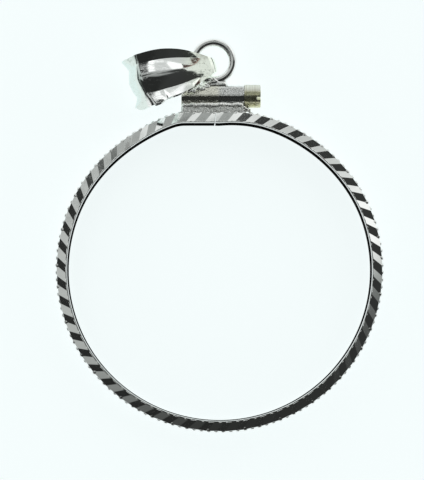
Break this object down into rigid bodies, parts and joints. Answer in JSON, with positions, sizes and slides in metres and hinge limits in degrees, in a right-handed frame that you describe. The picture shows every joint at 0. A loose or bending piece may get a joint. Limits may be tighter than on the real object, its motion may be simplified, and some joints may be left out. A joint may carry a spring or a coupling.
{
  "type": "coin bezel pendant frame",
  "caption": "Split silver channel ring with slanted facets and a reeded edge, closed by a screw in a barrel, with a tapered bail on a jump ring.",
  "frame": {"origin": "centre of the coin's seat: on the ring's axis, half-way between the two lips", "axes": "+Z along the ring's axis, out of the faceted front; +Y from the coin's centre to the barrel; +X to the right, towards the screw's head, seen from the front"},
  "size_m": [0.04, 0.0481, 0.0052],
  "materials": {
    "bezel_silver": "polished silver, worn, sandy on the barrel",
    "screw_brass": "worn pale gilding, satin",
    "bail_silver": "bright polished silver with fine scratches"
  },
  "bodies": {
    "frame": {"bezel_frame": "bezel_silver"},
    "screw": {"screw": "screw_brass"},
    "bail": {"bail": "bail_silver"}
  },
  "joints": [
    {"name": "screw_out", "type": "slide", "parent": "frame", "child": "screw", "axis": [1, 0, 0], "range_m": [0, 0.006]},
    {"name": "bail_swing", "type": "hinge", "parent": "frame", "child": "bail", "pos_m": [-0.00084, 0.02552, 0], "axis": [0, 0, -1], "range_deg": [0, 190]}
  ]
}
